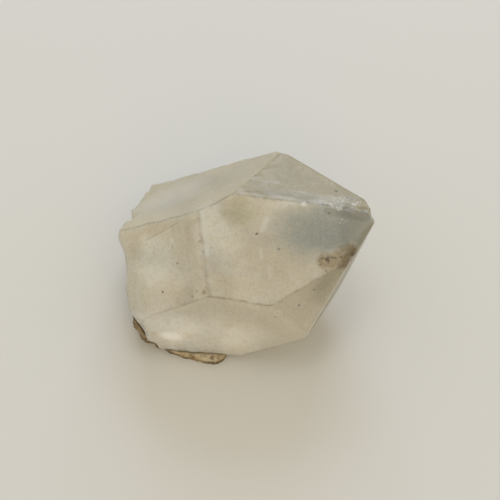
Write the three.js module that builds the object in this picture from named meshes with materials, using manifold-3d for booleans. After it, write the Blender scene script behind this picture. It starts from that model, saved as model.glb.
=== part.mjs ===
// Milky quartz point with a remnant of iron-stained matrix, millimetres, +Z up.
// A stubby hexagonal prism closed by a rhombohedral termination lies on the broken
// underside of its root, so that the c axis rises from the table towards the tip.
// The origin is on the table, under the centre of the specimen's box.
import * as THREE from 'three';
import { mergeVertices } from 'three/addons/utils/BufferGeometryUtils.js';
import Module from 'manifold-3d';

const wasm = await Module();
wasm.setup();

// ---------------------------------------------------------------- driving dimensions
const AXIS_HEADING = -9.6; // plan direction of the c axis, degrees from +X
const AXIS_RISE = 35.8; // slope of the c axis above the table, degrees
const AXIS_TURN = -146.5; // turn of the crystal about its c axis, degrees
const TIP = new THREE.Vector3(22.0, -5.0, 25.5); // where the c axis comes out of the tip
const PRISM = 90; // angle between the c axis and the pole of a prism face
const RHOMB = 51.8; // the same for a face of the termination
const STEEP = 74; // the same for the narrow steep facet over the front prism edge
const CONTACT_GAP = 0.3; // clearance between the crystal and its matrix

// Natural faces: azimuth of the pole round the c axis, its angle from the c axis,
// and the distance of the face from the tip. Growth leaves each a degree or two off.
const FACES = {
  prismFrontLeft: { azimuth: -1.3, polar: PRISM, distance: 18.3 },
  prismFront: { azimuth: 60.6, polar: PRISM - 2.1, distance: 15.0 },
  prismTop: { azimuth: -62.0, polar: PRISM - 2.5, distance: 13.65 },
  prismUnderFront: { azimuth: 119.9, polar: PRISM - 0.5, distance: 13.45 },
  prismBack: { azimuth: -120.0, polar: PRISM - 0.6, distance: 15.95 },
  prismUnderBack: { azimuth: 180.0, polar: PRISM, distance: 11.5 },
  rhombCentre: { azimuth: 0.8, polar: RHOMB + 0.3, distance: 0 },
  rhombFront: { azimuth: 60.5, polar: RHOMB, distance: 2.55 },
  rhombTop: { azimuth: -58.7, polar: RHOMB + 1.6, distance: 1.27 },
  rhombRight: { azimuth: 122.0, polar: RHOMB, distance: 0.12 },
  rhombBack: { azimuth: -120.0, polar: RHOMB + 1.7, distance: 2.6 },
  rhombFarRight: { azimuth: 180.0, polar: RHOMB + 0.9, distance: 0.1 },
  steepFront: { azimuth: -0.8, polar: STEEP, distance: 11.05 },
};

// Broken surfaces at the root, given by where they pass and which way they look.
const ROOT_BREAK = { through: [-22.2, -1.1, 17.8], looks: [-0.956, 0.035, -0.293], roughness: 0.4 };
const CORNER_BREAK = { through: [-17.5, -15.8, 9.0], looks: [-0.56, -0.82, -0.13], roughness: 0.3 };
const CORNER_WEAR = { through: [-16.8, -15.6, 4.7], looks: [-0.88, -0.26, -0.4], roughness: 0.15 };
const UNDERCUT = { through: [-6.0, -16.4, 1.3], looks: [-0.05, -0.56, -0.83], roughness: 0 };
const BREAK_CELL = 2.4; // spacing of the lumps and hackles on a broken surface

const CRYSTAL_COLOUR = 0xb8ac92;
const MATRIX_COLOUR = 0x8d7550;

// ---------------------------------------------------------------- shared geometry
const toVector = (list) => new THREE.Vector3(...list);
const radians = THREE.MathUtils.degToRad;
const UP = new THREE.Vector3(0, 0, 1);
const turnFromUp = (direction) => new THREE.Quaternion().setFromUnitVectors(UP, direction);
const FAR = 200; // size of a flat cutting block, far larger than the specimen
const BREAK_SPAN = 96; // size of an uneven one, which only has to span the crystal
const BLANK = { radius: 32, length: 75, beyondTip: 12 }; // the prism the faces are cut from

// Turns directions from the crystal's own frame, c axis up, into the resting attitude.
const attitude = new THREE.Matrix4()
  .makeRotationZ(radians(AXIS_HEADING))
  .multiply(new THREE.Matrix4().makeRotationY(radians(90 - AXIS_RISE)))
  .multiply(new THREE.Matrix4().makeRotationZ(radians(AXIS_TURN)));

function pole({ azimuth, polar }) {
  const direction = new THREE.Vector3();
  direction.setFromSphericalCoords(1, radians(polar), radians(azimuth));
  // three.js measures spherical angles from +Y; the crystal frame has its axis on +Z
  return new THREE.Vector3(direction.z, direction.x, direction.y).applyMatrix4(attitude);
}

function toSolid(geometry) {
  const bare = geometry.clone();
  bare.deleteAttribute('normal');
  bare.deleteAttribute('uv');
  const merged = mergeVertices(bare, 1e-4);
  return new wasm.Manifold(new wasm.Mesh({
    numProp: 3,
    vertProperties: new Float32Array(merged.attributes.position.array),
    triVerts: new Uint32Array(merged.index.array),
  }));
}

function namedMesh(name, solid, color, roughness) {
  const { vertProperties, numProp, triVerts } = solid.getMesh();
  const geometry = new THREE.BufferGeometry();
  geometry.setAttribute('position', new THREE.BufferAttribute(vertProperties, numProp));
  geometry.setIndex(new THREE.BufferAttribute(triVerts, 1));
  geometry.computeVertexNormals();
  const material = new THREE.MeshStandardMaterial({ color, roughness, flatShading: true });
  const mesh = new THREE.Mesh(geometry, material);
  mesh.name = name;
  return mesh;
}

// Smooth irregular height between -1 and 1, used for every broken or granular surface.
function unevenness(point, cell) {
  const x = point.x / cell;
  const y = point.y / cell;
  const z = point.z / cell;
  const broad = Math.sin(1.1 * x + 0.7 * y + 2.0) * Math.cos(0.9 * y - 1.3 * z + 0.4);
  const fine = Math.sin(2.7 * x - 1.9 * z + 1.0) * Math.cos(2.3 * y + 2.1 * x);
  return 0.6 * broad + 0.4 * fine;
}

// A block that takes away everything beyond a plane; `roughness` makes its near face uneven.
function cuttingBlock(through, looks, roughness = 0) {
  const outward = looks.clone().normalize();
  const span = roughness > 0 ? BREAK_SPAN : FAR;
  const count = roughness > 0 ? Math.round(span / BREAK_CELL) : 1;
  const geometry = new THREE.BoxGeometry(span, span, span, count, count, 1);
  geometry.translate(0, 0, span / 2);
  geometry.applyQuaternion(turnFromUp(outward));
  geometry.translate(through.x, through.y, through.z);
  if (roughness > 0) {
    const places = geometry.attributes.position;
    const place = new THREE.Vector3();
    for (let i = 0; i < places.count; i += 1) {
      place.fromBufferAttribute(places, i);
      const beyond = place.clone().sub(through).dot(outward);
      if (beyond < 1e-3) place.addScaledVector(outward, roughness * unevenness(place, BREAK_CELL));
      places.setXYZ(i, place.x, place.y, place.z);
    }
  }
  return toSolid(geometry);
}

// The point where three natural faces meet.
function corner(...names) {
  const rows = names.map((name) => pole(FACES[name]));
  const offsets = names.map((name, i) => FACES[name].distance + rows[i].dot(TIP));
  const matrix = new THREE.Matrix3().set(...rows.flatMap((row) => row.toArray()));
  return toVector(offsets).applyMatrix3(matrix.invert());
}

// ---------------------------------------------------------------- quartz crystal
// Conchoidal chips: each is a shallow scoop of `radius`, `depth` deep, at a worn or
// knocked place, opening the way it `looks` and `stretch` times longer `along` an edge.
const apex = corner('rhombCentre', 'rhombTop', 'rhombBack');
const topShoulder = corner('rhombCentre', 'rhombTop', 'prismTop');
const frontShoulder = corner('rhombCentre', 'rhombFront', 'prismFront');
const rightCorner = corner('rhombCentre', 'rhombFront', 'rhombRight');
const lowCorner = corner('rhombFront', 'prismFront', 'prismUnderFront');
const backCorner = corner('prismTop', 'rhombTop', 'rhombBack');
const tipEdge = topShoulder.clone().sub(apex).normalize();
const frontEdge = frontShoulder.clone().sub(rightCorner).normalize();
const rightEdge = apex.clone().sub(rightCorner).normalize();
const onTipEdge = (run) => apex.clone().addScaledVector(tipEdge, run);
const onStain = (left, up) => rightCorner.clone()
  .addScaledVector(frontEdge, left).addScaledVector(rightEdge, up);

const tipChips = [
  { at: apex, looks: [0.95, 0.26, 0.18], radius: 6.0, depth: 2.3 },
  { at: onTipEdge(2.0), looks: [0.8, 0.45, 0.4], radius: 1.4, depth: 0.7 },
  { at: onTipEdge(1.6), looks: [0.25, 0.45, 0.86], radius: 1.5, depth: 0.45, stretch: 1.5 },
  { at: onTipEdge(3.6), looks: [0.0, 0.5, 0.87], radius: 1.7, depth: 0.32, stretch: 1.9 },
  { at: onTipEdge(6.4), looks: [0.1, 0.2, 0.97], radius: 1.3, depth: 0.22, stretch: 2.4 },
  { at: onTipEdge(9.2), looks: [0.0, 0.4, 0.92], radius: 1.2, depth: 0.14, stretch: 2.6 },
];
// [distance left of the right-hand corner, distance up the right-hand edge, radius, depth]
const stainPits = [
  [0.6, 0.4, 3.2, 0.45],
  [2.9, 0.7, 1.8, 0.32],
  [4.9, 1.2, 1.3, 0.28],
  [1.9, 2.4, 2.0, 0.3],
  [4.0, 2.9, 1.1, 0.22],
  [5.6, -0.1, 0.9, 0.2],
].map(([left, up, radius, depth]) => (
  { at: onStain(left, up), looks: [0.15, -0.52, 0.84], radius, depth }));
const wornCorners = [
  { at: lowCorner, looks: [0.5, -0.8, -0.35], radius: 3.0, depth: 0.5 },
  { at: backCorner, looks: [0.1, 0.75, 0.65], radius: 3.0, depth: 0.2 },
  { at: toVector([-20.45, -7.3, 14.9]), looks: [-0.96, -0.1, 0.1], radius: 11.0, depth: 0 },
  { at: toVector([-20.8, -5.4, 15.8]), looks: [-0.96, -0.1, 0.1], radius: 3.5, depth: 0 },
  { at: toVector([-20.9, 4.0, 14.9]), looks: [-0.8, 0.4, 0.45], radius: 1.6, depth: 0.4 },
];
// Shallow hollows in the broken underside, each one's place given on the table.
const restHollows = [
  { at: toVector([-9.5, 4.0, 0]), looks: [0, 0, -1], radius: 15.0, depth: 0.8 },
  { at: toVector([-2.0, -9.5, 0]), looks: [0, 0, -1], radius: 10.0, depth: 0.5 },
  { at: toVector([0.5, 9.5, 0]), looks: [0, 0, -1], radius: 19.0, depth: 0.6 },
];
const CHIPS = [...tipChips, ...stainPits, ...wornCorners, ...restHollows];

// Growth ledges: strips across a prism face, at right angles to the c axis, one thin layer lower.
const LEDGES = [
  { face: 'prismFrontLeft', start: 26.2, width: 0.5, step: 0.08 },
  { face: 'prismFrontLeft', start: 36.0, width: 12.0, step: 0.12 },
  { face: 'prismTop', start: 26.0, width: 18.0, step: 0.12 },
  { face: 'prismBack', start: 17.0, width: 5.0, step: 0.15 },
  { face: 'prismBack', start: 26.0, width: 3.0, step: 0.2 },
  { face: 'prismUnderBack', start: 14.0, width: 4.0, step: 0.2 },
  { face: 'prismUnderFront', start: 12.0, width: 6.0, step: 0.15 },
];

// The convex body, with all its flat faces moved outwards by `margin`.
function crystalBody(margin) {
  const blank = new THREE.CylinderGeometry(BLANK.radius, BLANK.radius, BLANK.length, 6);
  blank.rotateX(Math.PI / 2);
  blank.translate(0, 0, BLANK.beyondTip - BLANK.length / 2);
  blank.applyMatrix4(attitude);
  blank.translate(TIP.x, TIP.y, TIP.z);
  let body = toSolid(blank);
  for (const face of Object.values(FACES)) {
    const outward = pole(face);
    const through = TIP.clone().addScaledVector(outward, face.distance + margin);
    body = body.subtract(cuttingBlock(through, outward));
  }
  for (const broken of [ROOT_BREAK, CORNER_BREAK, CORNER_WEAR, UNDERCUT]) {
    const outward = toVector(broken.looks).normalize();
    const through = toVector(broken.through).addScaledVector(outward, margin);
    body = body.subtract(cuttingBlock(through, outward, broken.roughness));
  }
  return body;
}

function chipScoop({ at, looks, radius, depth, stretch = 1 }) {
  const outward = toVector(looks).normalize();
  const centre = at.clone().addScaledVector(outward, radius - depth);
  const scoop = new THREE.SphereGeometry(radius, 22, 14).rotateX(Math.PI / 2);
  scoop.scale(1, 1, stretch);
  scoop.applyQuaternion(turnFromUp(tipEdge));
  return toSolid(scoop.translate(centre.x, centre.y, centre.z));
}

function ledgeStrip({ face, start, width, step }) {
  const outward = pole(FACES[face]);
  const axis = UP.clone().applyMatrix4(attitude);
  const down = axis.clone().projectOnPlane(outward).normalize().negate();
  const across = new THREE.Vector3().crossVectors(outward, down);
  const strip = new THREE.BoxGeometry(width, FAR, 2);
  strip.applyMatrix4(new THREE.Matrix4().makeBasis(down, across, outward));
  const centre = TIP.clone()
    .addScaledVector(outward, FACES[face].distance - step + 1)
    .addScaledVector(down, start + width / 2);
  return toSolid(strip.translate(centre.x, centre.y, centre.z));
}

function makeCrystal() {
  let crystal = crystalBody(0);
  crystal = crystal.subtract(cuttingBlock(new THREE.Vector3(), new THREE.Vector3(0, 0, -1)));
  for (const ledge of LEDGES) crystal = crystal.subtract(ledgeStrip(ledge));
  for (const chip of CHIPS) crystal = crystal.subtract(chipScoop(chip));
  return namedMesh('quartz_crystal', crystal, CRYSTAL_COLOUR, 0.25);
}

// ---------------------------------------------------------------- matrix remnant
// Granular iron-stained rock left on the root: a crust up the broken corner, a wedge under
// the overhanging root and a thin ledge under the front prism face, cut off flat below.
const MATRIX_LUMPS = [
  { centre: [-17.7, -13.7, 7.0], size: [4.2, 3.1, 5.6], turn: -34 },
  { centre: [-16.8, -5.2, 1.8], size: [6.8, 17.0, 14.0], turn: 4 },
  { centre: [-9.5, -14.7, 0.2], size: [12.2, 4.6, 2.4], turn: -19 },
  { centre: [-15.2, -13.1, 0.0], size: [2.6, 2.9, 2.0], turn: 20 },
];
const MATRIX_ROUGHNESS = 0.3;
const MATRIX_CELL = 1.5;

function matrixLump({ centre, size, turn }) {
  const counts = size.map((length) => Math.max(2, Math.round(length / 1.3)));
  const lump = new THREE.BoxGeometry(...size, ...counts);
  const places = lump.attributes.position;
  const place = new THREE.Vector3();
  const half = toVector(size).multiplyScalar(0.5);
  for (let i = 0; i < places.count; i += 1) {
    place.fromBufferAttribute(places, i);
    const unit = place.clone().divide(half);
    const reach = Math.abs(unit.x) ** 3 + Math.abs(unit.y) ** 3 + Math.abs(unit.z) ** 3;
    place.multiplyScalar(1 / Math.cbrt(reach));
    const direction = place.clone().normalize();
    place.addScaledVector(direction, MATRIX_ROUGHNESS * unevenness(place, MATRIX_CELL));
    places.setXYZ(i, place.x, place.y, place.z);
  }
  return toSolid(lump.rotateZ(radians(turn)).translate(...centre));
}

function makeMatrix() {
  let rock = MATRIX_LUMPS.map(matrixLump).reduce((joined, lump) => joined.add(lump));
  rock = rock.subtract(cuttingBlock(new THREE.Vector3(), new THREE.Vector3(0, 0, -1)));
  rock = rock.subtract(crystalBody(CONTACT_GAP));
  return namedMesh('matrix_remnant', rock, MATRIX_COLOUR, 0.95);
}

// ---------------------------------------------------------------- specimen
const specimen = new THREE.Group();
specimen.name = 'quartz_specimen';
specimen.add(makeCrystal(), makeMatrix());
const extent = new THREE.Box3().setFromObject(specimen, true);
const middle = extent.getCenter(new THREE.Vector3());
specimen.position.set(-middle.x, -middle.y, 0);

export default specimen;
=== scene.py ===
import math

import bpy
import numpy as np
from mathutils import Matrix, Vector, noise


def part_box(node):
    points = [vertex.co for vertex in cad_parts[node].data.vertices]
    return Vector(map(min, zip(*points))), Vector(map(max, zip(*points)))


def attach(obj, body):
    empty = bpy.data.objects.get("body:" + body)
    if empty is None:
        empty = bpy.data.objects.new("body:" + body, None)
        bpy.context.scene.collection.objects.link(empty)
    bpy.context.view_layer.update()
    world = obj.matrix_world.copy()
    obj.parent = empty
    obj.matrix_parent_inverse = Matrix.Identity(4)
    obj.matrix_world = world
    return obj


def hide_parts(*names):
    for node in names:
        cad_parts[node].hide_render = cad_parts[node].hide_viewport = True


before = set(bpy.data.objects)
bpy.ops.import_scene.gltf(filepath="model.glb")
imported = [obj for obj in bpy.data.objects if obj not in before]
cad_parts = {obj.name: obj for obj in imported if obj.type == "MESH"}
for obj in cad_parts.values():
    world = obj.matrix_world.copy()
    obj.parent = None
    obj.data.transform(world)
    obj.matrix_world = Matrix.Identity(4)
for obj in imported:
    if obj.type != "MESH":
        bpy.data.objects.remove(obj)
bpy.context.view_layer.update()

# ---------------------------------------------------------------- table, light and camera
# The specimen lies on a sheet of pale matt card under broad, soft light from above.
# The camera looks steeply down on it, from the side of the front prism face.
CARD_SIZE = 1.6
CARD_COLOUR = (0.66, 0.647, 0.617, 1.0)
SKY_COLOUR = (1.0, 0.975, 0.875, 1.0)
SKY_STRENGTH = 0.67

bpy.ops.object.select_all(action="DESELECT")
bpy.ops.mesh.primitive_plane_add(size=CARD_SIZE)
card = bpy.context.object
card.name = "table_card"
card_finish = bpy.data.materials.new("pale_card")
card_finish.use_nodes = True
card_shader = card_finish.node_tree.nodes["Principled BSDF"]
card_shader.inputs["Base Color"].default_value = CARD_COLOUR
card_shader.inputs["Roughness"].default_value = 0.85
card_shader.inputs["Specular IOR Level"].default_value = 0.15
card.data.materials.append(card_finish)

sky = bpy.data.worlds.new("soft_room_light")
sky.use_nodes = True
sky.node_tree.nodes["Background"].inputs["Color"].default_value = SKY_COLOUR
sky.node_tree.nodes["Background"].inputs["Strength"].default_value = SKY_STRENGTH
bpy.context.scene.world = sky
bpy.context.scene.view_settings.view_transform = "Standard"


def soft_box(name, place, size, power, colour):
    """A square area light of the given size and power, aimed at the specimen."""
    lamp = bpy.data.lights.new(name, "AREA")
    lamp.shape = "SQUARE"
    lamp.size = size
    lamp.energy = power
    lamp.color = colour
    holder = bpy.data.objects.new(name, lamp)
    bpy.context.scene.collection.objects.link(holder)
    holder.location = place
    holder.rotation_mode = "QUATERNION"
    holder.rotation_quaternion = (-Vector(place)).to_track_quat("-Z", "Y")


soft_box("ceiling_panel", (0.0, 0.0, 0.60), 0.16, 0.31, (1.0, 1.0, 0.98))
soft_box("window_behind", (0.05, 0.60, 0.40), 0.45, 2.45, (0.68, 0.80, 1.0))
soft_box("warm_room_in_front", (0.10, -0.60, 0.40), 0.45, 0.75, (1.0, 0.62, 0.10))

CAMERA_TARGET = Vector((0.0009, -0.0120, 0.0275))
CAMERA_DISTANCE = 0.2667
CAMERA_ELEVATION = math.radians(55)
lens = bpy.data.cameras.new("camera")
lens.lens = 115.2
lens.sensor_width = 36
lens.clip_start = 0.01
camera = bpy.data.objects.new("camera", lens)
bpy.context.scene.collection.objects.link(camera)
back = Vector((0, -math.cos(CAMERA_ELEVATION), math.sin(CAMERA_ELEVATION)))
camera.location = CAMERA_TARGET + back * CAMERA_DISTANCE
camera.rotation_mode = "QUATERNION"
camera.rotation_quaternion = (-back).to_track_quat("-Z", "Y")
bpy.context.scene.camera = camera

# ---------------------------------------------------------------- quartz crystal
# One milky quartz crystal: a stubby hexagonal prism closed by a rhombohedral tip, grown from
# hot water in a rock cleft and broken off its bed. It lies on the flat break of its root.
# Sizes and places in this section are in millimetres, made metres by MM.
MM = 0.001

# The c axis: its heading in plan, its rise over the table, and how the faces turn round it.
AXIS_HEADING = math.radians(-9.6)
AXIS_RISE = math.radians(35.8)
AXIS_TURN = math.radians(-146.5)

# The tip, from which every face and place is measured, and how far it lies inside the box of
# the solid crystal.
TIP_FROM_RIGHT = 0.113
TIP_FROM_FRONT = 13.470
TIP_FROM_TOP = 3.009
crystal_low, crystal_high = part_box("quartz_crystal")
TIP = Vector((crystal_high.x - TIP_FROM_RIGHT * MM,
              crystal_low.y + TIP_FROM_FRONT * MM,
              crystal_high.z - TIP_FROM_TOP * MM))

attitude = (Matrix.Rotation(AXIS_HEADING, 3, "Z")
            @ Matrix.Rotation(math.pi / 2 - AXIS_RISE, 3, "Y")
            @ Matrix.Rotation(AXIS_TURN, 3, "Z"))
c_axis = attitude @ Vector((0, 0, 1))

# Natural faces: azimuth of the pole round the c axis and its angle from that axis in degrees,
# and how far the face lies from the tip.
NATURAL_FACES = {
    "prism_front_left": (-1.3, 90.0, 18.3),
    "prism_front": (60.6, 87.9, 15.0),
    "prism_top": (-62.0, 87.5, 13.65),
    "prism_under_front": (119.9, 89.5, 13.45),
    "prism_back": (-120.0, 89.4, 15.95),
    "prism_under_back": (180.0, 90.0, 11.5),
    "rhomb_centre": (0.8, 52.1, 0.0),
    "rhomb_front": (60.5, 51.8, 2.55),
    "rhomb_top": (-58.7, 53.4, 1.27),
    "rhomb_right": (122.0, 51.8, 0.12),
    "rhomb_back": (-120.0, 53.5, 2.6),
    "rhomb_far_right": (180.0, 52.7, 0.1),
    "steep_front": (-0.8, 74.0, 11.05),
}
# Broken faces: the way each looks, and how far its plane lies from the tip.
BROKEN_FACES = {
    "root_break": ((-0.956, 0.035, -0.293), 44.63),
    "corner_break": ((-0.56, -0.82, -0.13), 33.07),
    "corner_wear": ((-0.88, -0.26, -0.40), 45.18),
    "undercut": ((-0.05, -0.56, -0.83), 27.80),
    "rest_break": ((0.0, 0.0, -1.0), TIP.z / MM),
}


def pole(azimuth, polar):
    """The way a natural face looks, from the two angles of its pole."""
    turn = math.radians(azimuth)
    lean = math.radians(polar)
    return attitude @ Vector((math.sin(lean) * math.cos(turn),
                              math.sin(lean) * math.sin(turn),
                              math.cos(lean)))


planes = {name: (pole(azimuth, polar), reach)
          for name, (azimuth, polar, reach) in NATURAL_FACES.items()}
planes.update({name: (Vector(outward).normalized(), reach)
               for name, (outward, reach) in BROKEN_FACES.items()})

# The hexagonal blank that the crystal is cut from, and how close two corners of a cut may lie
# before they are one.
BLANK_RADIUS = 34
BLANK_LENGTH = 75
BLANK_PAST_TIP = 12
SAME_CORNER = 0.0001


def flat_body(name, margin):
    """A blank cut along every flat face of the crystal, each one moved outwards by margin."""
    bpy.ops.object.select_all(action="DESELECT")
    bpy.ops.mesh.primitive_cylinder_add(
        vertices=6, radius=BLANK_RADIUS * MM, depth=BLANK_LENGTH * MM,
        location=TIP + c_axis * (BLANK_PAST_TIP - BLANK_LENGTH / 2) * MM,
        rotation=attitude.to_euler())
    body = bpy.context.object
    body.name = name
    bpy.ops.object.transform_apply(location=True, rotation=True, scale=True)
    bpy.ops.object.mode_set(mode="EDIT")
    for outward, reach in planes.values():
        bpy.ops.mesh.select_all(action="SELECT")
        bpy.ops.mesh.bisect(plane_co=TIP + outward * (reach + margin) * MM, plane_no=outward,
                            use_fill=True, clear_outer=True, threshold=SAME_CORNER * MM)
    bpy.ops.object.mode_set(mode="OBJECT")
    return body


crystal = flat_body("milky_quartz_point", 0)

# An even fine grid over the whole body. It rounds the edges off, so each place that lies within
# SNAP_REACH of one, two or three faces goes back on all of them, unless that is a long way.
GRID = 0.26
SNAP_REACH = 0.62 * GRID
LONGEST_SNAP = 1.2 * GRID
even_grid = crystal.modifiers.new("even_grid", "REMESH")
even_grid.mode = "VOXEL"
even_grid.voxel_size = GRID * MM
bpy.ops.object.modifier_apply(modifier="even_grid")

names = list(planes)
looks = np.array([planes[name][0][:] for name in names])
reaches = np.array([planes[name][1] for name in names])


def places_of(body):
    """The places of all vertices, a row for each."""
    flat = np.empty(len(body.data.vertices) * 3)
    body.data.vertices.foreach_get("co", flat)
    return flat.reshape(-1, 3)


def move_to(body, places):
    """Moves all vertices to new places."""
    body.data.vertices.foreach_set("co", places.astype(np.float32).ravel())
    body.data.update()


# Places are measured from the tip while the relief is cut.
places = (places_of(crystal) - np.array(TIP[:])) / MM
gaps = reaches - places @ looks.T
near = gaps < SNAP_REACH
order = np.argsort(gaps, axis=1)
for i in np.nonzero(near.sum(axis=1) >= 1)[0]:
    for count in range(min(3, int(near[i].sum())), 0, -1):
        meeting = order[i, :count]
        shift = np.linalg.lstsq(looks[meeting], gaps[i, meeting], rcond=None)[0]
        if np.linalg.norm(shift) < LONGEST_SNAP:
            places[i] += shift
            break

# The face that each place lies on, and its distance from the nearest edge of that face. The
# angle between two faces never counts as nothing, and a face has no edge with itself.
LEAST_SINE_SQUARED = 0.02
NO_EDGE = 99
gaps = np.maximum(reaches - places @ looks.T, 0)
owner = np.argmin(gaps, axis=1)
sines = np.sqrt(np.maximum(1 - (looks[owner] @ looks.T) ** 2, LEAST_SINE_SQUARED))
to_edge = gaps / sines
to_edge[np.arange(len(places)), owner] = NO_EDGE
edge_gap = to_edge.min(axis=1)


def meeting_point(*three):
    """The corner in which three faces meet."""
    rows = [names.index(name) for name in three]
    return np.linalg.solve(looks[rows], reaches[rows])


def unit(vector):
    """The same direction, one long."""
    return np.array(vector) / np.linalg.norm(vector)


# Each finer octave of rough noise is twice as fine and about half as high as the one before.
FALL = 0.9
FINER = 2.0


def noise_at(points, size, octaves=1, seed=0.0):
    """Smooth noise of about -1 to 1, with features of about the given size."""
    shift = Vector((seed, 1.7 * seed, -0.6 * seed))
    if octaves == 1:
        return np.array([noise.noise(Vector(p) / size + shift) for p in points])
    return np.array([noise.fractal(Vector(p) / size + shift, FALL, FINER, octaves)
                     for p in points])


# Relief: low growth waves on every natural face, fine striations across the c axis on the
# prism faces, a hackly surface on the breaks, hollows in the break that it rests on.
WAVE_HEIGHT = 0.035
RIPPLE_HEIGHT = 0.010
STRIATION_HEIGHT = 0.030
HACKLE_HEIGHT = 0.42
RIDGE_HEIGHT = 0.16
BREAK_DEPTH = 0.12
HOLLOW_DEPTH = 0.7
down_axis = -places @ np.array(c_axis[:])
is_prism = np.array([name.startswith("prism") for name in names])[owner]
is_broken = np.array([name in BROKEN_FACES for name in names])[owner]
is_rest = owner == names.index("rest_break")
broad_waves = noise_at(places, 7.0)
fine_waves = noise_at(places, 1.6, seed=4.0)
height = WAVE_HEIGHT * broad_waves + RIPPLE_HEIGHT * fine_waves

# Coarse and fine lines across the axis, a little wavy and different on each face.
COARSE_LINES = 0.9
FINE_LINES = 2.6
striation = np.array([
    noise.noise(Vector((COARSE_LINES * down + 0.15 * wave, 0.02 * face, 0.0))) +
    0.6 * noise.noise(Vector((FINE_LINES * down, 0.1 * face + 0.2 * wave, 5.0)))
    for down, wave, face in zip(down_axis, broad_waves * 3, owner * 50.0)])
height += np.where(is_prism, STRIATION_HEIGHT * striation, 0)

hackle = noise_at(places, 5.0, octaves=4, seed=9.0)
ridges = 1 - 2 * np.abs(noise_at(places, 2.6, octaves=3, seed=21.0))
break_height = HACKLE_HEIGHT * hackle + RIDGE_HEIGHT * ridges - BREAK_DEPTH
calmer_at_edge = np.clip(0.35 + edge_gap / 1.5, 0, 1)
height = np.where(is_broken & ~is_rest, break_height * calmer_at_edge, height)
hollow = np.clip(noise_at(places, 8.0, octaves=3, seed=33.0) + 0.15, 0, 1)
height = np.where(is_rest, -HOLLOW_DEPTH * hollow * np.clip(edge_gap / 2.0, 0, 1), height)

# Growth steps: (face, distance down the axis where a step starts, its length, its depth).
STEP_WANDER = 0.25
GROWTH_STEPS = [
    ("prism_front_left", 26.2, 0.5, 0.07),
    ("prism_front_left", 36.0, 12.0, 0.10),
    ("prism_top", 26.0, 18.0, 0.12),
    ("prism_back", 17.0, 5.0, 0.15),
    ("prism_back", 26.0, 3.0, 0.20),
    ("prism_under_back", 14.0, 4.0, 0.20),
    ("prism_under_front", 12.0, 6.0, 0.15),
]
step_line = down_axis + STEP_WANDER * broad_waves
for face, start, length, depth in GROWTH_STEPS:
    on_face = owner == names.index(face)
    inside = (step_line > start) & (step_line < start + length)
    height -= np.where(on_face & inside, depth, 0)

# Worn edges: rounded a little everywhere, nicked here and there.
WEAR_WIDTH = 0.35
WEAR_DEPTH = 0.05
NICK_DEPTH = 0.10
nicks = np.clip(noise_at(places, 1.1, octaves=2, seed=50.0) - 0.32, 0, 1)
wear = np.clip(1 - edge_gap / WEAR_WIDTH, 0, 1) * (WEAR_DEPTH + NICK_DEPTH * nicks)
places += looks[owner] * height[:, None]

centre_of_body = places.mean(axis=0)
to_middle = centre_of_body - places
to_middle /= np.linalg.norm(to_middle, axis=1)[:, None]
places += to_middle * wear[:, None]

# The edges wander a little where small growth steps end at them, but not on the right side.
EDGE_WANDER = 0.24
WANDER_WIDTH = 2.2
CALM_WIDTH = 2.5
CALM_FACES = ["rhomb_right", "rhomb_far_right", "prism_under_front", "rhomb_back"]


def smooth(amount):
    """0 to 1, with soft ends."""
    amount = np.clip(amount, 0, 1)
    return amount * amount * (3 - 2 * amount)


sway = np.stack([noise_at(places, 3.4, octaves=2, seed=seed) for seed in (110.0, 130.0, 150.0)],
                axis=1)
calm_gap = gaps[:, [names.index(face) for face in CALM_FACES]].min(axis=1)
wander = EDGE_WANDER * smooth(1 - edge_gap / WANDER_WIDTH) * smooth(calm_gap / CALM_WIDTH)
places += sway * wander[:, None]

# Places where the break bulges out (above 0) or has crumbled (below 0):
# (place, the way it looks, radius, how far the surface moves).
WEATHERED = [
    ((-43.6, 2.2, -8.9), (-1.0, -0.1, -0.1), 2.4, 0.55),
    ((-42.3, 12.0, -12.8), (-0.8, 0.5, 0.35), 1.6, 0.30),
    ((-42.9, 9.0, -11.3), (-0.8, 0.5, 0.35), 2.5, -0.60),
    ((-39.7, 20.9, -18.1), (-0.7, 0.6, 0.4), 2.2, -0.35),
    ((-38.7, -10.6, -20.6), (-0.6, -0.8, -0.2), 2.4, 0.50),
]
for middle, out, radius, rise in WEATHERED:
    nearby = smooth(1 - np.linalg.norm(places - np.array(middle), axis=1) / radius)
    places += rise * nearby[:, None] * unit(out)

# Corners of the crystal, and the edges between them.
apex = meeting_point("rhomb_centre", "rhomb_top", "rhomb_back")
top_shoulder = meeting_point("rhomb_centre", "rhomb_top", "prism_top")
front_shoulder = meeting_point("rhomb_centre", "rhomb_front", "prism_front")
right_corner = meeting_point("rhomb_centre", "rhomb_front", "rhomb_right")
low_corner = meeting_point("rhomb_front", "prism_front", "prism_under_front")
back_corner = meeting_point("prism_top", "rhomb_top", "rhomb_back")
tip_edge = unit(top_shoulder - apex)
front_edge = unit(front_shoulder - right_corner)
right_edge = unit(apex - right_corner)

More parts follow.
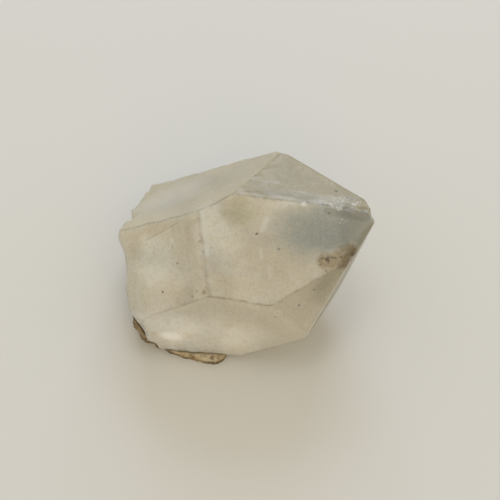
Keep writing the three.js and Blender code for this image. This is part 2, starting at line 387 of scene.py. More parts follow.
# Conchoidal chips, as round scoops: (place, the way it opens, radius, depth, stretch along the
# tip edge). A scoop with no depth only shaves off what stands proud of the break.
CHIPS = [
    (apex, (0.95, 0.26, 0.18), 6.0, 2.3, 1.0),
    (apex + 2.0 * tip_edge, (0.8, 0.45, 0.4), 1.4, 0.7, 1.0),
    (np.array((-0.2, 1.4, 0.75)), (0.9, 0.3, 0.32), 1.2, 0.85, 1.0),
    (apex + 1.6 * tip_edge, (0.25, 0.45, 0.86), 1.5, 0.45, 1.5),
    (apex + 3.6 * tip_edge, (0.0, 0.5, 0.87), 1.7, 0.32, 1.9),
    (apex + 6.4 * tip_edge, (0.1, 0.2, 0.97), 1.3, 0.22, 2.4),
    (apex + 9.2 * tip_edge, (0.0, 0.4, 0.92), 1.2, 0.14, 2.6),
    (low_corner, (0.5, -0.8, -0.35), 3.0, 0.5, 1.0),
    (back_corner, (0.1, 0.75, 0.65), 3.4, 0.70, 1.0),
    (np.array((0.1, -0.3, 0.0)), (0.93, -0.1, 0.2), 0.9, 0.25, 1.0),
    (np.array((-42.45, -2.3, -10.6)), (-0.96, -0.1, 0.1), 11.0, 0.0, 1.0),
    (np.array((-42.8, -0.4, -9.7)), (-0.96, -0.1, 0.1), 3.5, 0.0, 1.0),
    (np.array((-42.9, 9.0, -10.6)), (-0.8, 0.4, 0.45), 1.6, 0.4, 1.0),
]
chipped = np.zeros(len(places))
for at, opening, radius, depth, stretch in CHIPS:
    centre = at + unit(opening) * (radius - depth)
    arm = places - centre
    run = arm @ tip_edge
    squeezed = arm - np.outer(run * (1 - 1 / stretch), tip_edge)
    far = np.linalg.norm(squeezed, axis=1)
    inside = far < radius
    push = squeezed * (radius / np.maximum(far, 1e-6) - 1)[:, None]
    places[inside] += push[inside]
    chipped[inside] = 1

# The stained corner is etched into small pits.
PIT_DEPTH = 0.30
PITTED_RADII = (4.2, 2.6, 2.6)
pitted_middle = right_corner + 2.2 * front_edge + 1.5 * right_edge
pitted = 1.25 - np.linalg.norm((places - pitted_middle) / PITTED_RADII, axis=1)
pits = noise_at(places, 0.55, octaves=2, seed=70.0) + 0.6 * noise_at(places, 1.5, seed=75.0)
pits = np.clip(pitted, 0, 1) * np.clip(pits + 0.25, 0, 1)
places -= looks[owner] * (PIT_DEPTH * pits)[:, None]

places = places * MM + np.array(TIP[:])
places[:, 2] = np.maximum(places[:, 2], 0)
move_to(crystal, places)


def keep_on_vertices(body, name, values):
    """Keeps a value for each vertex, for the finish to read."""
    layer = body.data.attributes.new(name, "FLOAT", "POINT")
    layer.data.foreach_set("value", values.astype(np.float32))


def seam_gap(one, other):
    """How far each place lies from the edge in which two faces meet."""
    pair = [names.index(one), names.index(other)]
    turn = math.sin(math.acos(float(looks[pair[0]] @ looks[pair[1]])))
    return gaps[:, pair].max(axis=1) / turn


# Dirt has settled along some of the edges: (the two faces that meet, how strongly).
DIRT_WIDTH = 0.38
GLINT_WIDTH = 0.30
DIRTY_EDGES = [
    ("rhomb_centre", "prism_front", 0.90),
    ("rhomb_centre", "rhomb_front", 0.75),
    ("steep_front", "prism_front", 0.60),
    ("prism_front_left", "prism_front", 0.50),
    ("prism_front_left", "prism_top", 0.70),
    ("steep_front", "prism_top", 0.75),
    ("rhomb_centre", "prism_top", 0.75),
    ("rhomb_centre", "steep_front", 0.35),
    ("rhomb_centre", "rhomb_top", 0.25),
    ("prism_top", "rhomb_top", 0.20),
    ("rhomb_top", "rhomb_back", 0.50),
    ("prism_top", "prism_back", 0.45),
    ("rhomb_centre", "rhomb_right", 0.40),
    ("prism_front_left", "root_break", 0.45),
    ("prism_top", "root_break", 0.55),
]
dirt = np.zeros(len(places))
for one, other, strength in DIRTY_EDGES:
    dirt = np.maximum(dirt, strength * np.clip(1 - seam_gap(one, other) / DIRT_WIDTH, 0, 1))
keep_on_vertices(crystal, "dirt_line", dirt)
# A highlight painted along the edge between the front and the right rhombohedral faces.
glint = np.clip(1 - seam_gap("rhomb_front", "rhomb_right") / GLINT_WIDTH, 0, 1)
keep_on_vertices(crystal, "glint_line", glint)
keep_on_vertices(crystal, "broken", np.maximum(is_broken, chipped).astype(float))

# Each face has its own tone: partly the depth of milk and clear quartz that it looks into,
# partly painted light and shade, each face lightened or darkened for the way the light falls on
# it.
# The tones of two faces blend over a narrow band at their edge.
FACE_TONES_AND_SHADING = {
    "prism_top": (0.785, 0.685, 0.465, 1),
    "rhomb_top": (0.445, 0.365, 0.165, 1),
    "prism_front_left": (0.88, 0.82, 0.69, 1),
    "steep_front": (0.76, 0.69, 0.56, 1),
    "rhomb_centre": (0.88, 0.825, 0.71, 1),
    "rhomb_front": (0.74, 0.69, 0.56, 1),
    "prism_front": (0.85, 0.80, 0.685, 1),
    "rhomb_right": (0.44, 0.38, 0.24, 1),
    "rhomb_far_right": (0.50, 0.43, 0.28, 1),
    "rhomb_back": (0.52, 0.45, 0.30, 1),
    "prism_back": (0.66, 0.59, 0.46, 1),
}
OTHER_TONE = (0.86, 0.80, 0.68, 1)
TONE_BLEND = 0.15
OWN_SHARE = 0.01
nearness = np.clip(1 - gaps / TONE_BLEND, 0, 1)
nearness[np.arange(len(places)), owner] += OWN_SHARE
tones_and_shading = nearness @ np.array([FACE_TONES_AND_SHADING.get(name, OTHER_TONE) for name in names])
tones_and_shading /= nearness.sum(axis=1)[:, None]
tone_and_shade_layer = crystal.data.color_attributes.new("face_tone_and_shade", "FLOAT_COLOR", "POINT")
tone_and_shade_layer.data.foreach_set("color", tones_and_shading.astype(np.float32).ravel())

# A face less than this across has shrunk to nothing.
SLIVER = 0.0005


def drop_slivers(body):
    """Closes up the faces that have shrunk to nothing, and smooths the shading."""
    bpy.ops.object.select_all(action="DESELECT")
    body.select_set(True)
    bpy.context.view_layer.objects.active = body
    bpy.ops.object.mode_set(mode="EDIT")
    bpy.ops.mesh.select_all(action="SELECT")
    bpy.ops.mesh.dissolve_degenerate(threshold=SLIVER * MM)
    bpy.ops.mesh.select_all(action="SELECT")
    bpy.ops.mesh.delete_loose()
    bpy.ops.object.mode_set(mode="OBJECT")
    bpy.ops.object.shade_smooth()


drop_slivers(crystal)

quartz_finish = bpy.data.materials.new("milky_quartz")
quartz_finish.use_nodes = True
tree = quartz_finish.node_tree
quartz = tree.nodes["Principled BSDF"]


def add(kind, wires=None, **settings):
    """Adds a node to the tree in hand, sets it, and wires or fills its inputs."""
    node = tree.nodes.new(kind)
    for setting, value in settings.items():
        setattr(node, setting, value)
    for socket, value in (wires or {}).items():
        if isinstance(value, bpy.types.NodeSocket):
            tree.links.new(value, node.inputs[socket])
        else:
            node.inputs[socket].default_value = value
    return node


def plus(one, other):
    return add("ShaderNodeMath", {0: one, 1: other}, operation="ADD").outputs[0]


def times(one, other):
    return add("ShaderNodeMath", {0: one, 1: other}, operation="MULTIPLY").outputs[0]


def larger(one, other):
    return add("ShaderNodeMath", {0: one, 1: other}, operation="MAXIMUM").outputs[0]


def ramp(value, start, end, low=0.0, high=1.0):
    """Goes smoothly from low at start to high at end."""
    return add("ShaderNodeMapRange", {0: value, 1: start, 2: end, 3: low, 4: high},
               interpolation_type="SMOOTHSTEP").outputs[0]


def grain(where, size, detail, rough=0.5):
    """Noise of 0 to 1 with features of about the given size in millimetres."""
    return add("ShaderNodeTexNoise", {"Vector": where, "Scale": 1 / size, "Detail": detail,
                                      "Roughness": rough}).outputs[0]


def tinted(colour, tint, amount):
    """The colour, mixed with an amount of 0 to 1 of the tint."""
    return add("ShaderNodeMix", {"Factor": amount, "A": colour, "B": tint},
               data_type="RGBA").outputs["Result"]


def patch(where, centre, radii, softness):
    """1 inside an ellipsoid about centre, fading to 0 over its soft rim."""
    arm = add("ShaderNodeVectorMath", {0: where, 1: centre}, operation="SUBTRACT").outputs[0]
    arm = add("ShaderNodeVectorMath", {0: arm, 1: radii}, operation="DIVIDE").outputs[0]
    far = add("ShaderNodeVectorMath", {0: arm}, operation="LENGTH").outputs["Value"]
    return ramp(far, 1 + softness, 1 - softness)


def along(where, direction, start, end):
    """Goes from 0 to 1 between two distances along a direction."""
    run = add("ShaderNodeVectorMath", {0: where, 1: direction}, operation="DOT_PRODUCT")
    return ramp(run.outputs["Value"], start, end)


def kept(name):
    """A value that was kept on the vertices."""
    return add("ShaderNodeAttribute", attribute_name=name).outputs["Fac"]


# A streak is solid over this share of its radius.
STREAK_CORE = 0.3


def streak(where, start, end, radius):
    """1 along the line from start to end, fading to 0 at the radius from it."""
    start = Vector(start)
    run = Vector(end) - start
    arm = add("ShaderNodeVectorMath", {0: where, 1: start}, operation="SUBTRACT").outputs[0]
    reach = add("ShaderNodeVectorMath", {0: arm, 1: run / run.length_squared},
                operation="DOT_PRODUCT").outputs["Value"]
    reach = add("ShaderNodeClamp", {"Value": reach}).outputs[0]
    foot = add("ShaderNodeVectorMath", {0: run, "Scale": reach}, operation="SCALE").outputs[0]
    far = add("ShaderNodeVectorMath", {0: arm, 1: foot}, operation="DISTANCE").outputs["Value"]
    return ramp(far, radius, radius * STREAK_CORE)


def shaken(where, size, amount):
    """Places moved about by noise, so that the rims of patches wander."""
    noise_field = add("ShaderNodeTexNoise", {"Vector": where, "Scale": 1 / size, "Detail": 1.0})
    offset = add("ShaderNodeVectorMath", {0: noise_field.outputs["Color"], 1: (0.5, 0.5, 0.5)},
                 operation="SUBTRACT").outputs[0]
    return add("ShaderNodeVectorMath", {0: offset, 1: (amount, amount, amount), 2: where},
               operation="MULTIPLY_ADD").outputs[0]


def from_tip():
    """The place that is being coloured, in millimetres from the tip."""
    metres = add("ShaderNodeTexCoord").outputs["Object"]
    return add("ShaderNodeVectorMath", {0: metres, 1: (1 / MM, 1 / MM, 1 / MM), 2: -TIP / MM},
               operation="MULTIPLY_ADD").outputs[0]


# Clouds wander widely, stains and bruises less, and cracks only a little.
place = from_tip()
blurred = shaken(place, 2.8, 3.0)
ragged = shaken(place, 0.9, 0.9)
jagged = shaken(place, 0.5, 0.4)
# The tone of each face, with its painted light and shade.
colour = add("ShaderNodeAttribute", attribute_name="face_tone_and_shade").outputs["Color"]

# Zones of different milk and cloud inside the crystal:
# (middle, radii, softness of the rim, colour, strength).
WHITE_MILK = (0.99, 0.945, 0.85, 1)
GLOW_WHITE = (1.0, 0.965, 0.91, 1)
GREY_MILK = (0.88, 0.84, 0.735, 1)
WARM_WHITE = (0.95, 0.85, 0.66, 1)
WARM_MILK = (0.81, 0.73, 0.58, 1)
BROWN_MILK = (0.79, 0.71, 0.56, 1)
OLIVE = (0.68, 0.645, 0.43, 1)
BLUE_CLOUD = (0.325, 0.385, 0.375, 1)
TIP_CLOUD = (0.43, 0.46, 0.435, 1)
GREY_CLOUD = (0.42, 0.385, 0.285, 1)
SHOULDER_CLOUD = (0.60, 0.515, 0.315, 1)
ZONES = [
    # the top prism face
    ((-34.5, 12.5, -10.5), (7.0, 7.0, 6.0), 0.5, GREY_MILK, 0.6),
    ((-22.0, 14.0, -4.5), (8.5, 8.0, 6.0), 0.5, GREY_CLOUD, 0.45),
    # the left end of the front left prism face, and its edges
    ((-37.0, -2.6, -7.2), (4.4, 4.4, 4.0), 0.3, WHITE_MILK, 0.85),
    ((-41.0, -6.5, -11.5), (1.6, 6.0, 4.0), 0.6, GREY_MILK, 0.6),
    ((-36.8, 2.0, -3.3), (5.5, 1.4, 3.8), 0.4, BROWN_MILK, 0.7),
    ((-35.6, -10.2, -10.8), (6.5, 1.7, 2.8), 0.5, BROWN_MILK, 0.60),
    ((-31.6, -6.5, -4.2), (1.7, 7.0, 5.0), 0.4, BROWN_MILK, 0.20),
    # white bands across the middle
    ((-32.2, -7.4, -5.4), (2.4, 3.4, 3.2), 0.6, WHITE_MILK, 0.45),
    ((-28.6, -2.4, -0.2), (1.8, 5.2, 3.2), 0.5, WHITE_MILK, 0.75),
    ((-25.4, -2.6, 0.0), (3.2, 4.6, 3.4), 0.6, WHITE_MILK, 0.85),
    # the olive patch, and the milk round it
    ((-22.3, 0.7, 1.3), (2.5, 2.4, 1.8), 0.6, OLIVE, 0.80),
    ((-20.4, -2.4, -0.1), (2.0, 2.0, 1.8), 0.6, GREY_MILK, 0.7),
    ((-19.6, -5.4, -1.7), (4.4, 4.2, 2.8), 0.7, WARM_MILK, 0.5),
    ((-25.6, -8.0, -3.0), (3.2, 2.4, 2.2), 0.6, WHITE_MILK, 0.45),
    ((-14.2, -6.6, -2.7), (4.4, 3.0, 2.6), 0.6, WARM_MILK, 0.55),
    # the blue-grey cloud near the tip
    ((-10.2, -1.8, -0.3), (6.2, 4.4, 3.0), 0.75, BLUE_CLOUD, 0.90),
    ((-4.6, -1.6, -0.4), (5.6, 3.8, 2.8), 0.6, TIP_CLOUD, 0.85),
    ((-7.9, -3.0, -1.2), (2.8, 2.2, 1.8), 0.7, BLUE_CLOUD, 0.60),
    # the front rhombohedral face, then the front prism face, which faces down and is whitened
    # with painted light, the glow of light through the crystal
    ((-8.4, -9.0, -5.6), (2.6, 2.6, 3.6), 0.7, GREY_CLOUD, 0.5),
    ((-34.0, -11.2, -15.0), (7.0, 2.6, 6.0), 0.6, GLOW_WHITE, 0.95),
    ((-25.5, -12.5, -17.5), (7.0, 3.0, 4.0), 0.6, GLOW_WHITE, 0.6),
    ((-30.5, -11.3, -21.8), (4.6, 2.4, 1.8), 0.6, GLOW_WHITE, 0.8),
    # smaller clouds along the upper edge and the front edge
    ((-14.0, 4.6, 1.2), (8.0, 1.3, 1.4), 0.6, GREY_CLOUD, 0.55),
    ((-10.9, 0.8, 0.9), (3.4, 1.6, 1.2), 0.7, TIP_CLOUD, 0.50),
    ((-25.4, -10.2, -4.2), (3.4, 1.8, 2.0), 0.6, WARM_WHITE, 0.50),
    ((-32.6, -10.2, -7.8), (2.8, 2.0, 2.4), 0.6, WARM_WHITE, 0.35),
    ((-6.6, 4.3, 0.7), (3.0, 1.5, 1.2), 0.5, GREY_MILK, 0.35),
]
for middle, radii, softness, tint, strength in ZONES:
    colour = tinted(colour, tint, times(patch(blurred, middle, radii, softness), strength))
shoulder = streak(blurred, top_shoulder, back_corner, 4.2)
colour = tinted(colour, SHOULDER_CLOUD, times(shoulder, 0.42))

# Soft clouds, a fine grain, dust and dark specks, alike everywhere.
PALE_GRAIN = (0.95, 0.94, 0.90, 1)
DEEP_GRAIN = (0.45, 0.40, 0.30, 1)
PALE_DUST = (0.98, 0.95, 0.88, 1)
DEEP_DUST = (0.42, 0.37, 0.27, 1)
SPECK = (0.30, 0.22, 0.12, 1)
cloudy = grain(blurred, 2.4, 3.0, 0.55)
colour = tinted(colour, WHITE_MILK, ramp(cloudy, 0.50, 0.75, 0.0, 0.22))
colour = tinted(colour, BROWN_MILK, ramp(cloudy, 0.50, 0.28, 0.0, 0.30))
fine = grain(place, 0.55, 3.0, 0.65)
colour = tinted(colour, PALE_GRAIN, ramp(fine, 0.45, 0.75, 0.0, 0.16))
colour = tinted(colour, DEEP_GRAIN, ramp(fine, 0.55, 0.25, 0.0, 0.30))
dust = grain(place, 0.24, 1.0)
colour = tinted(colour, PALE_DUST, ramp(dust, 0.50, 0.72, 0.0, 0.16))
colour = tinted(colour, DEEP_DUST, ramp(dust, 0.50, 0.28, 0.0, 0.18))
specks = grain(place, 0.38, 1.0)
colour = tinted(colour, SPECK, ramp(specks, 0.70, 0.78, 0.0, 0.20))

# Healed cracks, whitish flaws and dark hairlines: (start, end, radius, colour, strength).
PALE = (0.90, 0.89, 0.84, 1)
DARK = (0.13, 0.11, 0.075, 1)
SMOKE_AND_SHADE = (0.28, 0.29, 0.27, 1)
BRIGHT = (1.0, 0.97, 0.90, 1)
TIP_SHADE = (0.29, 0.28, 0.21, 1)
FRONT_SHADE = (0.40, 0.37, 0.27, 1)
STREAKS = [
    # pale veils on the upper faces
    ((-21.3, 8.5, 0.8), (-16.5, 7.8, 0.7), 0.50, PALE, 0.22),
    ((-14.3, 6.0, 1.0), (-9.2, 4.9, 0.8), 0.45, PALE, 0.14),
    # white flaws across the middle
    ((-18.3, 0.0, 0.9), (-19.1, -1.7, 0.0), 0.75, BRIGHT, 0.70),
    ((-19.4, -4.4, -1.4), (-19.2, -6.0, -2.2), 0.40, BRIGHT, 0.60),
    ((-17.9, -7.3, -3.0), (-17.8, -8.9, -3.8), 0.40, BRIGHT, 0.50),
    ((-29.4, 0.4, 1.6), (-28.5, -5.6, -1.6), 0.75, BRIGHT, 0.60),
    # pale lines, a forked white crack and dark hairlines at the left end
    ((-41.0, -5.5, -11.0), (-40.1, -10.2, -13.8), 0.60, PALE, 0.45),
    ((-39.2, -0.1, -6.2), (-34.2, 0.2, -1.8), 0.30, PALE, 0.35),
    ((-34.5, -1.3, -3.2), (-35.0, -2.5, -4.3), 0.30, BRIGHT, 0.85),
    ((-34.5, -1.3, -3.2), (-34.0, -2.6, -3.6), 0.26, BRIGHT, 0.75),
    ((-34.9, -0.2, -2.8), (-34.9, -1.5, -3.6), 0.22, BRIGHT, 0.50),
    ((-39.2, 0.4, -6.0), (-33.7, 0.6, -1.2), 0.17, DARK, 0.30),
    ((-34.6, 0.5, -2.0), (-34.2, -0.6, -2.5), 0.17, DARK, 0.25),
    # soft painted shade and a painted shadow line under the step along the tip edge, and a
    # faint dark line further along that edge
    ((-8.0, 1.7, 1.1), (-1.2, 0.5, 0.4), 1.10, SMOKE_AND_SHADE, 0.60),
    ((-9.6, 2.7, 1.5), (-0.9, 1.2, 0.7), 0.30, DARK, 0.55),
    ((-24.6, 4.1, 2.4), (-10.2, 2.7, 1.6), 0.20, DARK, 0.20),
    # shade along the right-hand edges, and a dark line at the very tip
    ((-0.3, -0.6, -0.2), (-3.8, -4.8, -2.8), 1.00, TIP_SHADE, 0.55),
    ((-6.2, -7.2, -4.2), (-9.0, -9.3, -5.9), 1.80, FRONT_SHADE, 0.42),
    ((-2.4, 1.8, 0.8), (-0.6, 0.7, 0.4), 0.20, DARK, 0.60),
]
for start, end, radius, tint, strength in STREAKS:
    colour = tinted(colour, tint, times(streak(jagged, start, end, radius), strength))

# Small flaws: (place, radius, colour, strength).
TAN_FLAW = (0.36, 0.28, 0.17, 1)
DOTS = [
    # a large painted bright spot on the front prism face, light gathered inside the crystal,
    # and its neighbours
    ((-35.3, -11.0, -18.9), 1.25, BRIGHT, 1.0),
    ((-34.2, -11.1, -19.4), 0.90, BRIGHT, 1.0),
    ((-38.0, -10.9, -18.6), 0.60, WARM_MILK, 0.7),
    ((-31.8, -11.6, -18.4), 0.80, WARM_MILK, 0.5),
    # painted glints on small chips near the tip
    ((-12.0, 2.4, 1.8), 0.42, BRIGHT, 0.9),
    ((-3.4, 3.2, 0.7), 0.40, BRIGHT, 1.0),
    ((-5.7, 2.0, 1.3), 0.34, BRIGHT, 1.0),
    ((-6.4, 2.2, 1.2), 0.24, BRIGHT, 1.0),
    ((-7.1, 2.4, 1.2), 0.34, BRIGHT, 0.9),
    # small dark and tan pits
    ((-6.3, 6.7, -0.2), 0.28, DARK, 1.0),
    ((-7.7, 1.1, 0.9), 0.20, DARK, 0.9),
    ((-20.0, -2.3, -0.3), 0.22, DARK, 1.0),
    ((-16.3, -4.6, -1.6), 0.22, DARK, 0.6),
    ((-36.2, -8.3, -9.1), 0.18, DARK, 1.0),
    ((-33.6, -5.2, -4.9), 0.16, DARK, 0.8),
    ((-31.0, -11.0, -6.4), 0.20, DARK, 0.6),
    ((-30.2, -10.5, -5.4), 0.22, DARK, 0.4),
    ((-28.9, -11.2, -4.9), 0.40, TAN_FLAW, 0.6),
    ((-12.8, -11.8, -7.9), 0.28, DARK, 0.6),
    ((-10.3, -9.9, -6.0), 0.24, DARK, 0.6),
    ((-16.9, -13.1, -9.6), 0.20, DARK, 0.6),
]
for middle, radius, tint, strength in DOTS:
    spot = patch(jagged, middle, (radius, radius, radius), 0.5)
    colour = tinted(colour, tint, times(spot, strength))

# The bruised tip: darker clear bits among crushed quartz that glitters with painted glints. A
# patch of fine cracks lies beside it.
bruise = patch(ragged, (-4.2, 3.4, 0.8), (3.6, 2.6, 1.5), 0.4)
bruise = larger(bruise, streak(ragged, (-9.0, 2.7, 1.5), (-1.5, 1.5, 0.8), 0.8))
clear_bits = ramp(grain(place, 0.7, 2.0, 0.6), 0.54, 0.62)
colour = tinted(colour, SMOKE_AND_SHADE, times(times(bruise, clear_bits), 0.6))
glint_and_crack_specks = ramp(grain(place, 0.50, 2.0, 0.6), 0.58, 0.66)
colour = tinted(colour, BRIGHT, times(times(bruise, glint_and_crack_specks), 0.8))
crackle = patch(ragged, (-6.0, 0.1, 0.3), (1.5, 0.9, 0.8), 0.5)
colour = tinted(colour, PALE, times(times(crackle, glint_and_crack_specks), 0.7))

# The right-hand corner is pitted and stained brown by iron, most of all along its edge.
TAN_STAIN = (0.46, 0.35, 0.19, 1)
DARK_STAIN = (0.21, 0.155, 0.085, 1)
STAIN_PIT = (0.09, 0.06, 0.03, 1)
STAIN_RIDGE = (0.80, 0.70, 0.50, 1)
IRON_SPOT = (0.10, 0.07, 0.035, 1)
tan_stain = streak(ragged, (-8.4, -6.3, -2.9), (-5.4, -6.0, -3.0), 1.9)
tan_stain = larger(tan_stain, streak(ragged, (-6.0, -5.2, -2.4), (-4.2, -4.5, -2.1), 1.6))
colour = tinted(colour, TAN_STAIN, times(tan_stain, 0.80))
dark_stain = streak(ragged, (-3.7, -4.7, -2.3), (-5.2, -6.3, -3.4), 1.5)
colour = tinted(colour, DARK_STAIN, times(dark_stain, 0.75))
stain = larger(tan_stain, dark_stain)
stained_pits = ramp(grain(place, 0.65, 3.0, 0.6), 0.54, 0.66)
colour = tinted(colour, STAIN_PIT, times(times(stain, stained_pits), 0.75))
rubbed_ridges = ramp(grain(place, 0.6, 2.0, 0.6), 0.58, 0.70)
colour = tinted(colour, STAIN_RIDGE, times(times(stain, rubbed_ridges), 0.6))

# The darkest iron spots: (start, end, radius, strength).
IRON_SPOTS = [
    ((-8.2, -6.0, -2.7), (-7.9, -6.1, -2.8), 0.38, 0.9),
    ((-9.0, -5.8, -2.6), (-6.5, -5.6, -2.6), 0.24, 0.6),
    ((-8.3, -7.6, -3.5), (-8.2, -7.8, -3.7), 0.28, 0.5),
    ((-3.6, -4.8, -2.5), (-3.9, -5.0, -2.6), 0.50, 0.7),
]
for start, end, radius, strength in IRON_SPOTS:
    spot = streak(jagged, start, end, radius)
    colour = tinted(colour, IRON_SPOT, times(spot, strength))

# Dirt lies in a broken line along some edges, and a highlight is painted along one edge.
DIRT = (0.24, 0.18, 0.10, 1)
dirt_breaks = ramp(grain(place, 1.6, 2.0), 0.34, 0.62, 0.45, 1.0)
dirt_amount = times(kept("dirt_line"), dirt_breaks)
colour = tinted(colour, DIRT, times(dirt_amount, 0.8))
colour = tinted(colour, BRIGHT, times(kept("glint_line"), 0.8))
tree.links.new(colour, quartz.inputs["Base Color"])

# The crystal clears towards the tip and the back, and lets less light through where the milk
# is densest: (middle, radii, softness of the rim, strength). The large painted bright spot lets
# none.
MILKY_END = 0.48
CLEAR_END = 0.55
CLEARS_TOWARDS = (0.55, 0.62, 0.56)
CLEARS_FROM = -31.0
CLEARS_TO = -7.0
MILK_LOSS = 0.22
DENSE_MILK = [
    ((-30.0, -12.0, -18.0), (10.5, 4.0, 6.0), 0.6, 1.0),
    ((-36.5, -4.0, -6.5), (5.0, 6.0, 5.0), 0.5, 0.42),
    ((-26.5, -2.6, 0.0), (4.0, 4.6, 3.4), 0.5, 0.34),
]
densest = 0.0
for middle, radii, softness, strength in DENSE_MILK:
    densest = larger(densest, times(patch(blurred, middle, radii, softness), strength))
clearing = along(blurred, CLEARS_TOWARDS, CLEARS_FROM, CLEARS_TO)
clear_amount = ramp(clearing, 0.0, 1.0, MILKY_END, CLEAR_END)
clear_amount = plus(clear_amount, times(densest, -MILK_LOSS))
glow_spot = patch(jagged, (-34.9, -11.0, -19.1), (2.1, 1.2, 1.4), 0.3)
clear_amount = times(clear_amount, plus(times(glow_spot, -1.0), 1.0))
tree.links.new(clear_amount, quartz.inputs["Transmission Weight"])

# Quartz bends light by its own index. Milk scatters it over a few millimetres, red the
# furthest. Broken places are a little rougher than grown ones.
QUARTZ_IOR = 1.544
SCATTER_REACH = 4
SCATTER_COLOUR = (1.0, 0.93, 0.8)
GROWN_ROUGHNESS = 0.29
BREAK_ROUGHER = 0.12
BUMP_STRENGTH = 0.05
BUMP_HEIGHT = 0.1
rougher = times(kept("broken"), BREAK_ROUGHER)
tree.links.new(plus(rougher, GROWN_ROUGHNESS), quartz.inputs["Roughness"])
quartz.inputs["IOR"].default_value = QUARTZ_IOR
quartz.inputs["Subsurface Weight"].default_value = 1.0
quartz.inputs["Subsurface Radius"].default_value = SCATTER_COLOUR
quartz.inputs["Subsurface Scale"].default_value = SCATTER_REACH * MM
bump = add("ShaderNodeBump", {"Height": fine, "Strength": BUMP_STRENGTH,
                              "Distance": BUMP_HEIGHT * MM})
tree.links.new(bump.outputs[0], quartz.inputs["Normal"])
crystal.data.materials.append(quartz_finish)
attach(crystal, "root")
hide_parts("quartz_crystal")

# ---------------------------------------------------------------- matrix remnant
# A last remnant of the cleft's wall: granular, iron-stained rock that came away with the root.
# It clings to the broken corner, runs under it and shows as a ledge below the front face.
MATRIX_GAP = 0.3

# Lumps of rock: (middle, size, turn in plan in degrees).
MATRIX_LUMPS = [
    ((-39.7, -8.7, -18.5), (4.2, 3.1, 5.6), -34),
    ((-38.8, -0.2, -23.7), (6.8, 17.0, 14.0), 4),
    ((-31.5, -9.7, -25.3), (12.2, 4.6, 2.4), -19),
    ((-37.2, -8.1, -25.5), (2.6, 2.9, 2.0), 20),
]

# Each lump is a stretched cube with its corners and edges rounded well off.
LUMP_CUTS = 9
lumps = []
for middle, size, turn in MATRIX_LUMPS:
    bpy.ops.object.select_all(action="DESELECT")
    bpy.ops.mesh.primitive_cube_add(size=2, location=TIP + Vector(middle) * MM,
                                    rotation=(0, 0, math.radians(turn)))
    lump = bpy.context.object
    bpy.ops.object.mode_set(mode="EDIT")
    bpy.ops.mesh.subdivide(number_cuts=LUMP_CUTS)
    bpy.ops.object.mode_set(mode="OBJECT")
    corners = places_of(lump)
    corners /= np.cbrt((np.abs(corners) ** 3).sum(axis=1))[:, None]
    move_to(lump, corners * np.array(size) / 2 * MM)
    bpy.ops.object.transform_apply(location=True, rotation=True, scale=True)
    lumps.append(lump)

matrix = lumps[0]
for lump in lumps:
    lump.select_set(True)
bpy.context.view_layer.objects.active = matrix
bpy.ops.object.join()
matrix.name = "iron_stained_remnant"
MATRIX_GRID = 0.14
grain_grid = matrix.modifiers.new("grain_grid", "REMESH")
grain_grid.mode = "VOXEL"
grain_grid.voxel_size = MATRIX_GRID * MM
bpy.ops.object.modifier_apply(modifier="grain_grid")

# Rounded grains on an uneven surface, which rises inside a grain's rim and sinks outside it.
GRAIN_SIZE = 0.75
GRAIN_HEIGHT = 0.20
GRAIN_RIM = 0.55
LUMPY_HEIGHT = 0.22
places = (places_of(matrix) - np.array(TIP[:])) / MM
matrix_normals = np.empty(len(places) * 3)
matrix.data.vertices.foreach_get("normal", matrix_normals)
from_grain = np.array([noise.voronoi(Vector(p) / GRAIN_SIZE)[0][0] for p in places])
lumpy = noise_at(places, 1.9, octaves=3, seed=90.0)
height = LUMPY_HEIGHT * lumpy + GRAIN_HEIGHT * (GRAIN_RIM - from_grain)
places += matrix_normals.reshape(-1, 3) * height[:, None]
move_to(matrix, places * MM + np.array(TIP[:]))

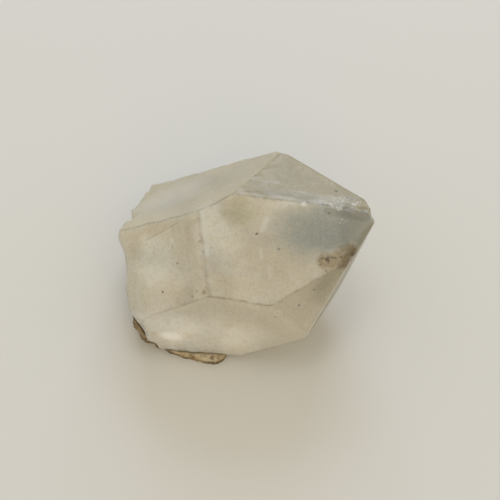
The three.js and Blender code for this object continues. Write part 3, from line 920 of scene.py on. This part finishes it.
# It is cut flat along the table, and fitted to the crystal with a narrow gap.
bpy.ops.object.mode_set(mode="EDIT")
bpy.ops.mesh.select_all(action="SELECT")
bpy.ops.mesh.bisect(plane_co=(0, 0, 0), plane_no=(0, 0, -1), use_fill=True, clear_outer=True,
                    threshold=SAME_CORNER * MM)
bpy.ops.object.mode_set(mode="OBJECT")
seat = flat_body("seat", MATRIX_GAP)
fit = matrix.modifiers.new("fit_to_crystal", "BOOLEAN")
fit.operation = "DIFFERENCE"
fit.object = seat
fit.solver = "EXACT"
bpy.ops.object.select_all(action="DESELECT")
matrix.select_set(True)
bpy.context.view_layer.objects.active = matrix
bpy.ops.object.modifier_apply(modifier="fit_to_crystal")
bpy.data.objects.remove(seat)
drop_slivers(matrix)

rock_finish = bpy.data.materials.new("iron_stained_matrix")
rock_finish.use_nodes = True
tree = rock_finish.node_tree
rock = tree.nodes["Principled BSDF"]

# Dark brown at the corner, tan along the ledge, and painted shade underneath, along the table.
CORNER_ROCK = (0.27, 0.21, 0.125, 1)
LEDGE_ROCK = (0.56, 0.48, 0.34, 1)
UNDER_SHADE = (0.17, 0.125, 0.07, 1)
LEDGE_FROM = -38.6
LEDGE_TO = -36.6
UNDER_FROM = 24.6
UNDER_TO = 25.2
place = from_tip()
colour = tinted(CORNER_ROCK, LEDGE_ROCK, along(place, (1, 0, 0), LEDGE_FROM, LEDGE_TO))
colour = tinted(colour, UNDER_SHADE, along(place, (0, 0, -1), UNDER_FROM, UNDER_TO))

# Rusty blotches, dark iron between the grains, and pale grains of quartz.
RUST = (0.42, 0.31, 0.18, 1)
IRON = (0.13, 0.09, 0.05, 1)
QUARTZ_GRAIN = (0.62, 0.55, 0.42, 1)
rust = grain(place, 2.6, 2.0)
colour = tinted(colour, RUST, ramp(rust, 0.48, 0.62, 0.0, 0.6))
iron = grain(place, 0.9, 4.0, 0.65)
colour = tinted(colour, IRON, ramp(iron, 0.46, 0.64, 0.0, 0.75))
quartz_grains = grain(place, 0.5, 2.0, 0.6)
colour = tinted(colour, QUARTZ_GRAIN, ramp(quartz_grains, 0.60, 0.68, 0.0, 0.6))
tree.links.new(colour, rock.inputs["Base Color"])
rock.inputs["Roughness"].default_value = 0.9
rock.inputs["Specular IOR Level"].default_value = 0.2
matrix.data.materials.append(rock_finish)
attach(matrix, "root")
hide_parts("matrix_remnant")
